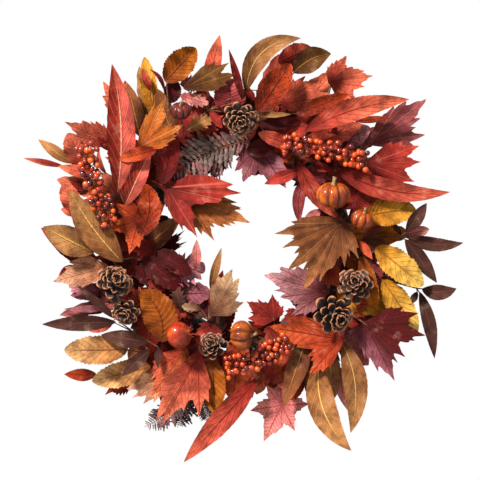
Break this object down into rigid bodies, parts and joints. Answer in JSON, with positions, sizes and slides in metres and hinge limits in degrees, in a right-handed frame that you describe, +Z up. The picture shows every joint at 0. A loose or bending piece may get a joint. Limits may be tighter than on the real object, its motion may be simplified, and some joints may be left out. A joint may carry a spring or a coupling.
{
  "type": "harvest door wreath",
  "caption": "Round autumn door wreath: sprays of formed fabric leaves, berries, cones and small gourds on a wrapped ring, hung by a hinged wire loop at its back",
  "frame": {"origin": "inside the top of the wire hanging loop, where a nail or hook carries the wreath", "axes": "+Z up, -Y towards the viewer in front of the door, +X to the viewer's right; the ring's centre is 172.9 mm below the origin and 20.2 mm in front of it"},
  "size_m": [0.618, 0.1318, 0.594],
  "materials": {
    "ring_wrap": "dark brown moss ribbon wrapped round a foam ring, dry and fuzzy",
    "wire": "dark annealed florist's wire",
    "leaf_red": "formed polyester leaf, brick red with darker rim and raised veins, matte",
    "leaf_salmon": "formed polyester leaf, salmon fading to red at the base, matte",
    "leaf_orange": "formed polyester leaf, orange with rust mottling, matte",
    "leaf_gold": "formed polyester leaf, golden yellow with brown midrib, matte",
    "leaf_tan": "formed polyester leaf, tan brown with a pale midrib, matte",
    "leaf_brown": "formed polyester leaf, dark brown, matte",
    "leaf_mauve": "formed polyester leaf, dusty mauve and maroon, matte",
    "fern": "pressed fern frond, grey brown, matte",
    "cone": "natural dried pine cone, dark scales with pale rims",
    "gourd": "foam gourd with a lacquered orange to russet skin and a dry tan stalk",
    "berry": "lacquered berries, orange to dark red, on brown stems"
  },
  "bodies": {
    "root": {"autumn_spray_upper_left": "leaf_tan", "band_wire_with_eye": "wire", "berry_spray_bottom": "berry", "berry_spray_left": "berry", "berry_spray_right": "berry", "brown_lance_spray_bottom": "leaf_tan", "brown_maple_spray_inner": "leaf_brown", "creeper_spray_left": "leaf_brown", "creeper_spray_right_lower": "leaf_brown", "creeper_spray_right_upper": "leaf_brown", "fern_frond_bottom": "fern", "fern_frond_top_inner": "fern", "gold_ribbed_oval_left": "leaf_gold", "gold_ribbed_oval_right": "leaf_gold", "gourd_bottom": "gourd", "gourd_right": "gourd", "gourd_right_small": "gourd", "gourd_top_left": "gourd", "maple_spray_left_inner": "leaf_red", "mauve_maple_right": "leaf_mauve", "mauve_maple_spray_top_inner": "leaf_mauve", "mauve_spray_left": "leaf_mauve", "mixed_spray_left_inner": "leaf_brown", "mixed_spray_top": "leaf_red", "orange_maple_bottom": "leaf_orange", "orange_maple_bottom_left": "leaf_orange", "orange_oak_spray_upper_left": "leaf_orange", "orange_red_maple_left": "leaf_salmon", "pine_cone_bottom": "cone", "pine_cone_left": "cone", "pine_cone_lower_left": "cone", "pine_cone_lower_right": "cone", "pine_cone_right": "cone", "pine_cone_top": "cone", "pink_maple_bottom": "leaf_salmon", "pomegranate_bottom_left": "gourd", "red_lance_bottom": "leaf_red", "red_lance_right": "leaf_red", "red_lance_spray_left": "leaf_red", "red_lance_spray_upper_left": "leaf_red", "red_maple_bottom_inner": "leaf_red", "red_maple_top_right": "leaf_salmon", "red_spray_right_inner": "leaf_red", "rose_maple_lower_right": "leaf_mauve", "rose_maple_spray_right": "leaf_mauve", "salmon_lance_right": "leaf_salmon", "salmon_maple_spray_bottom": "leaf_salmon", "salmon_spray_far_left": "leaf_salmon", "serrated_spray_top_left": "leaf_orange", "spotted_oval_left": "leaf_orange", "spotted_spray_top": "leaf_orange", "tan_lance_spray_left": "leaf_tan", "tan_lance_spray_top": "leaf_tan", "tan_maple_right": "leaf_tan", "wrapped_ring": "ring_wrap", "yellow_spray_lower_left": "leaf_gold", "yellow_spray_right": "leaf_gold"},
    "hanging_loop": {"hanging_loop": "wire"}
  },
  "joints": [
    {"name": "hanging_loop_hinge", "type": "hinge", "parent": "root", "child": "hanging_loop", "pos_m": [0, 0, -0.0329], "axis": [-1, 0, 0], "range_deg": [0, 150]}
  ]
}
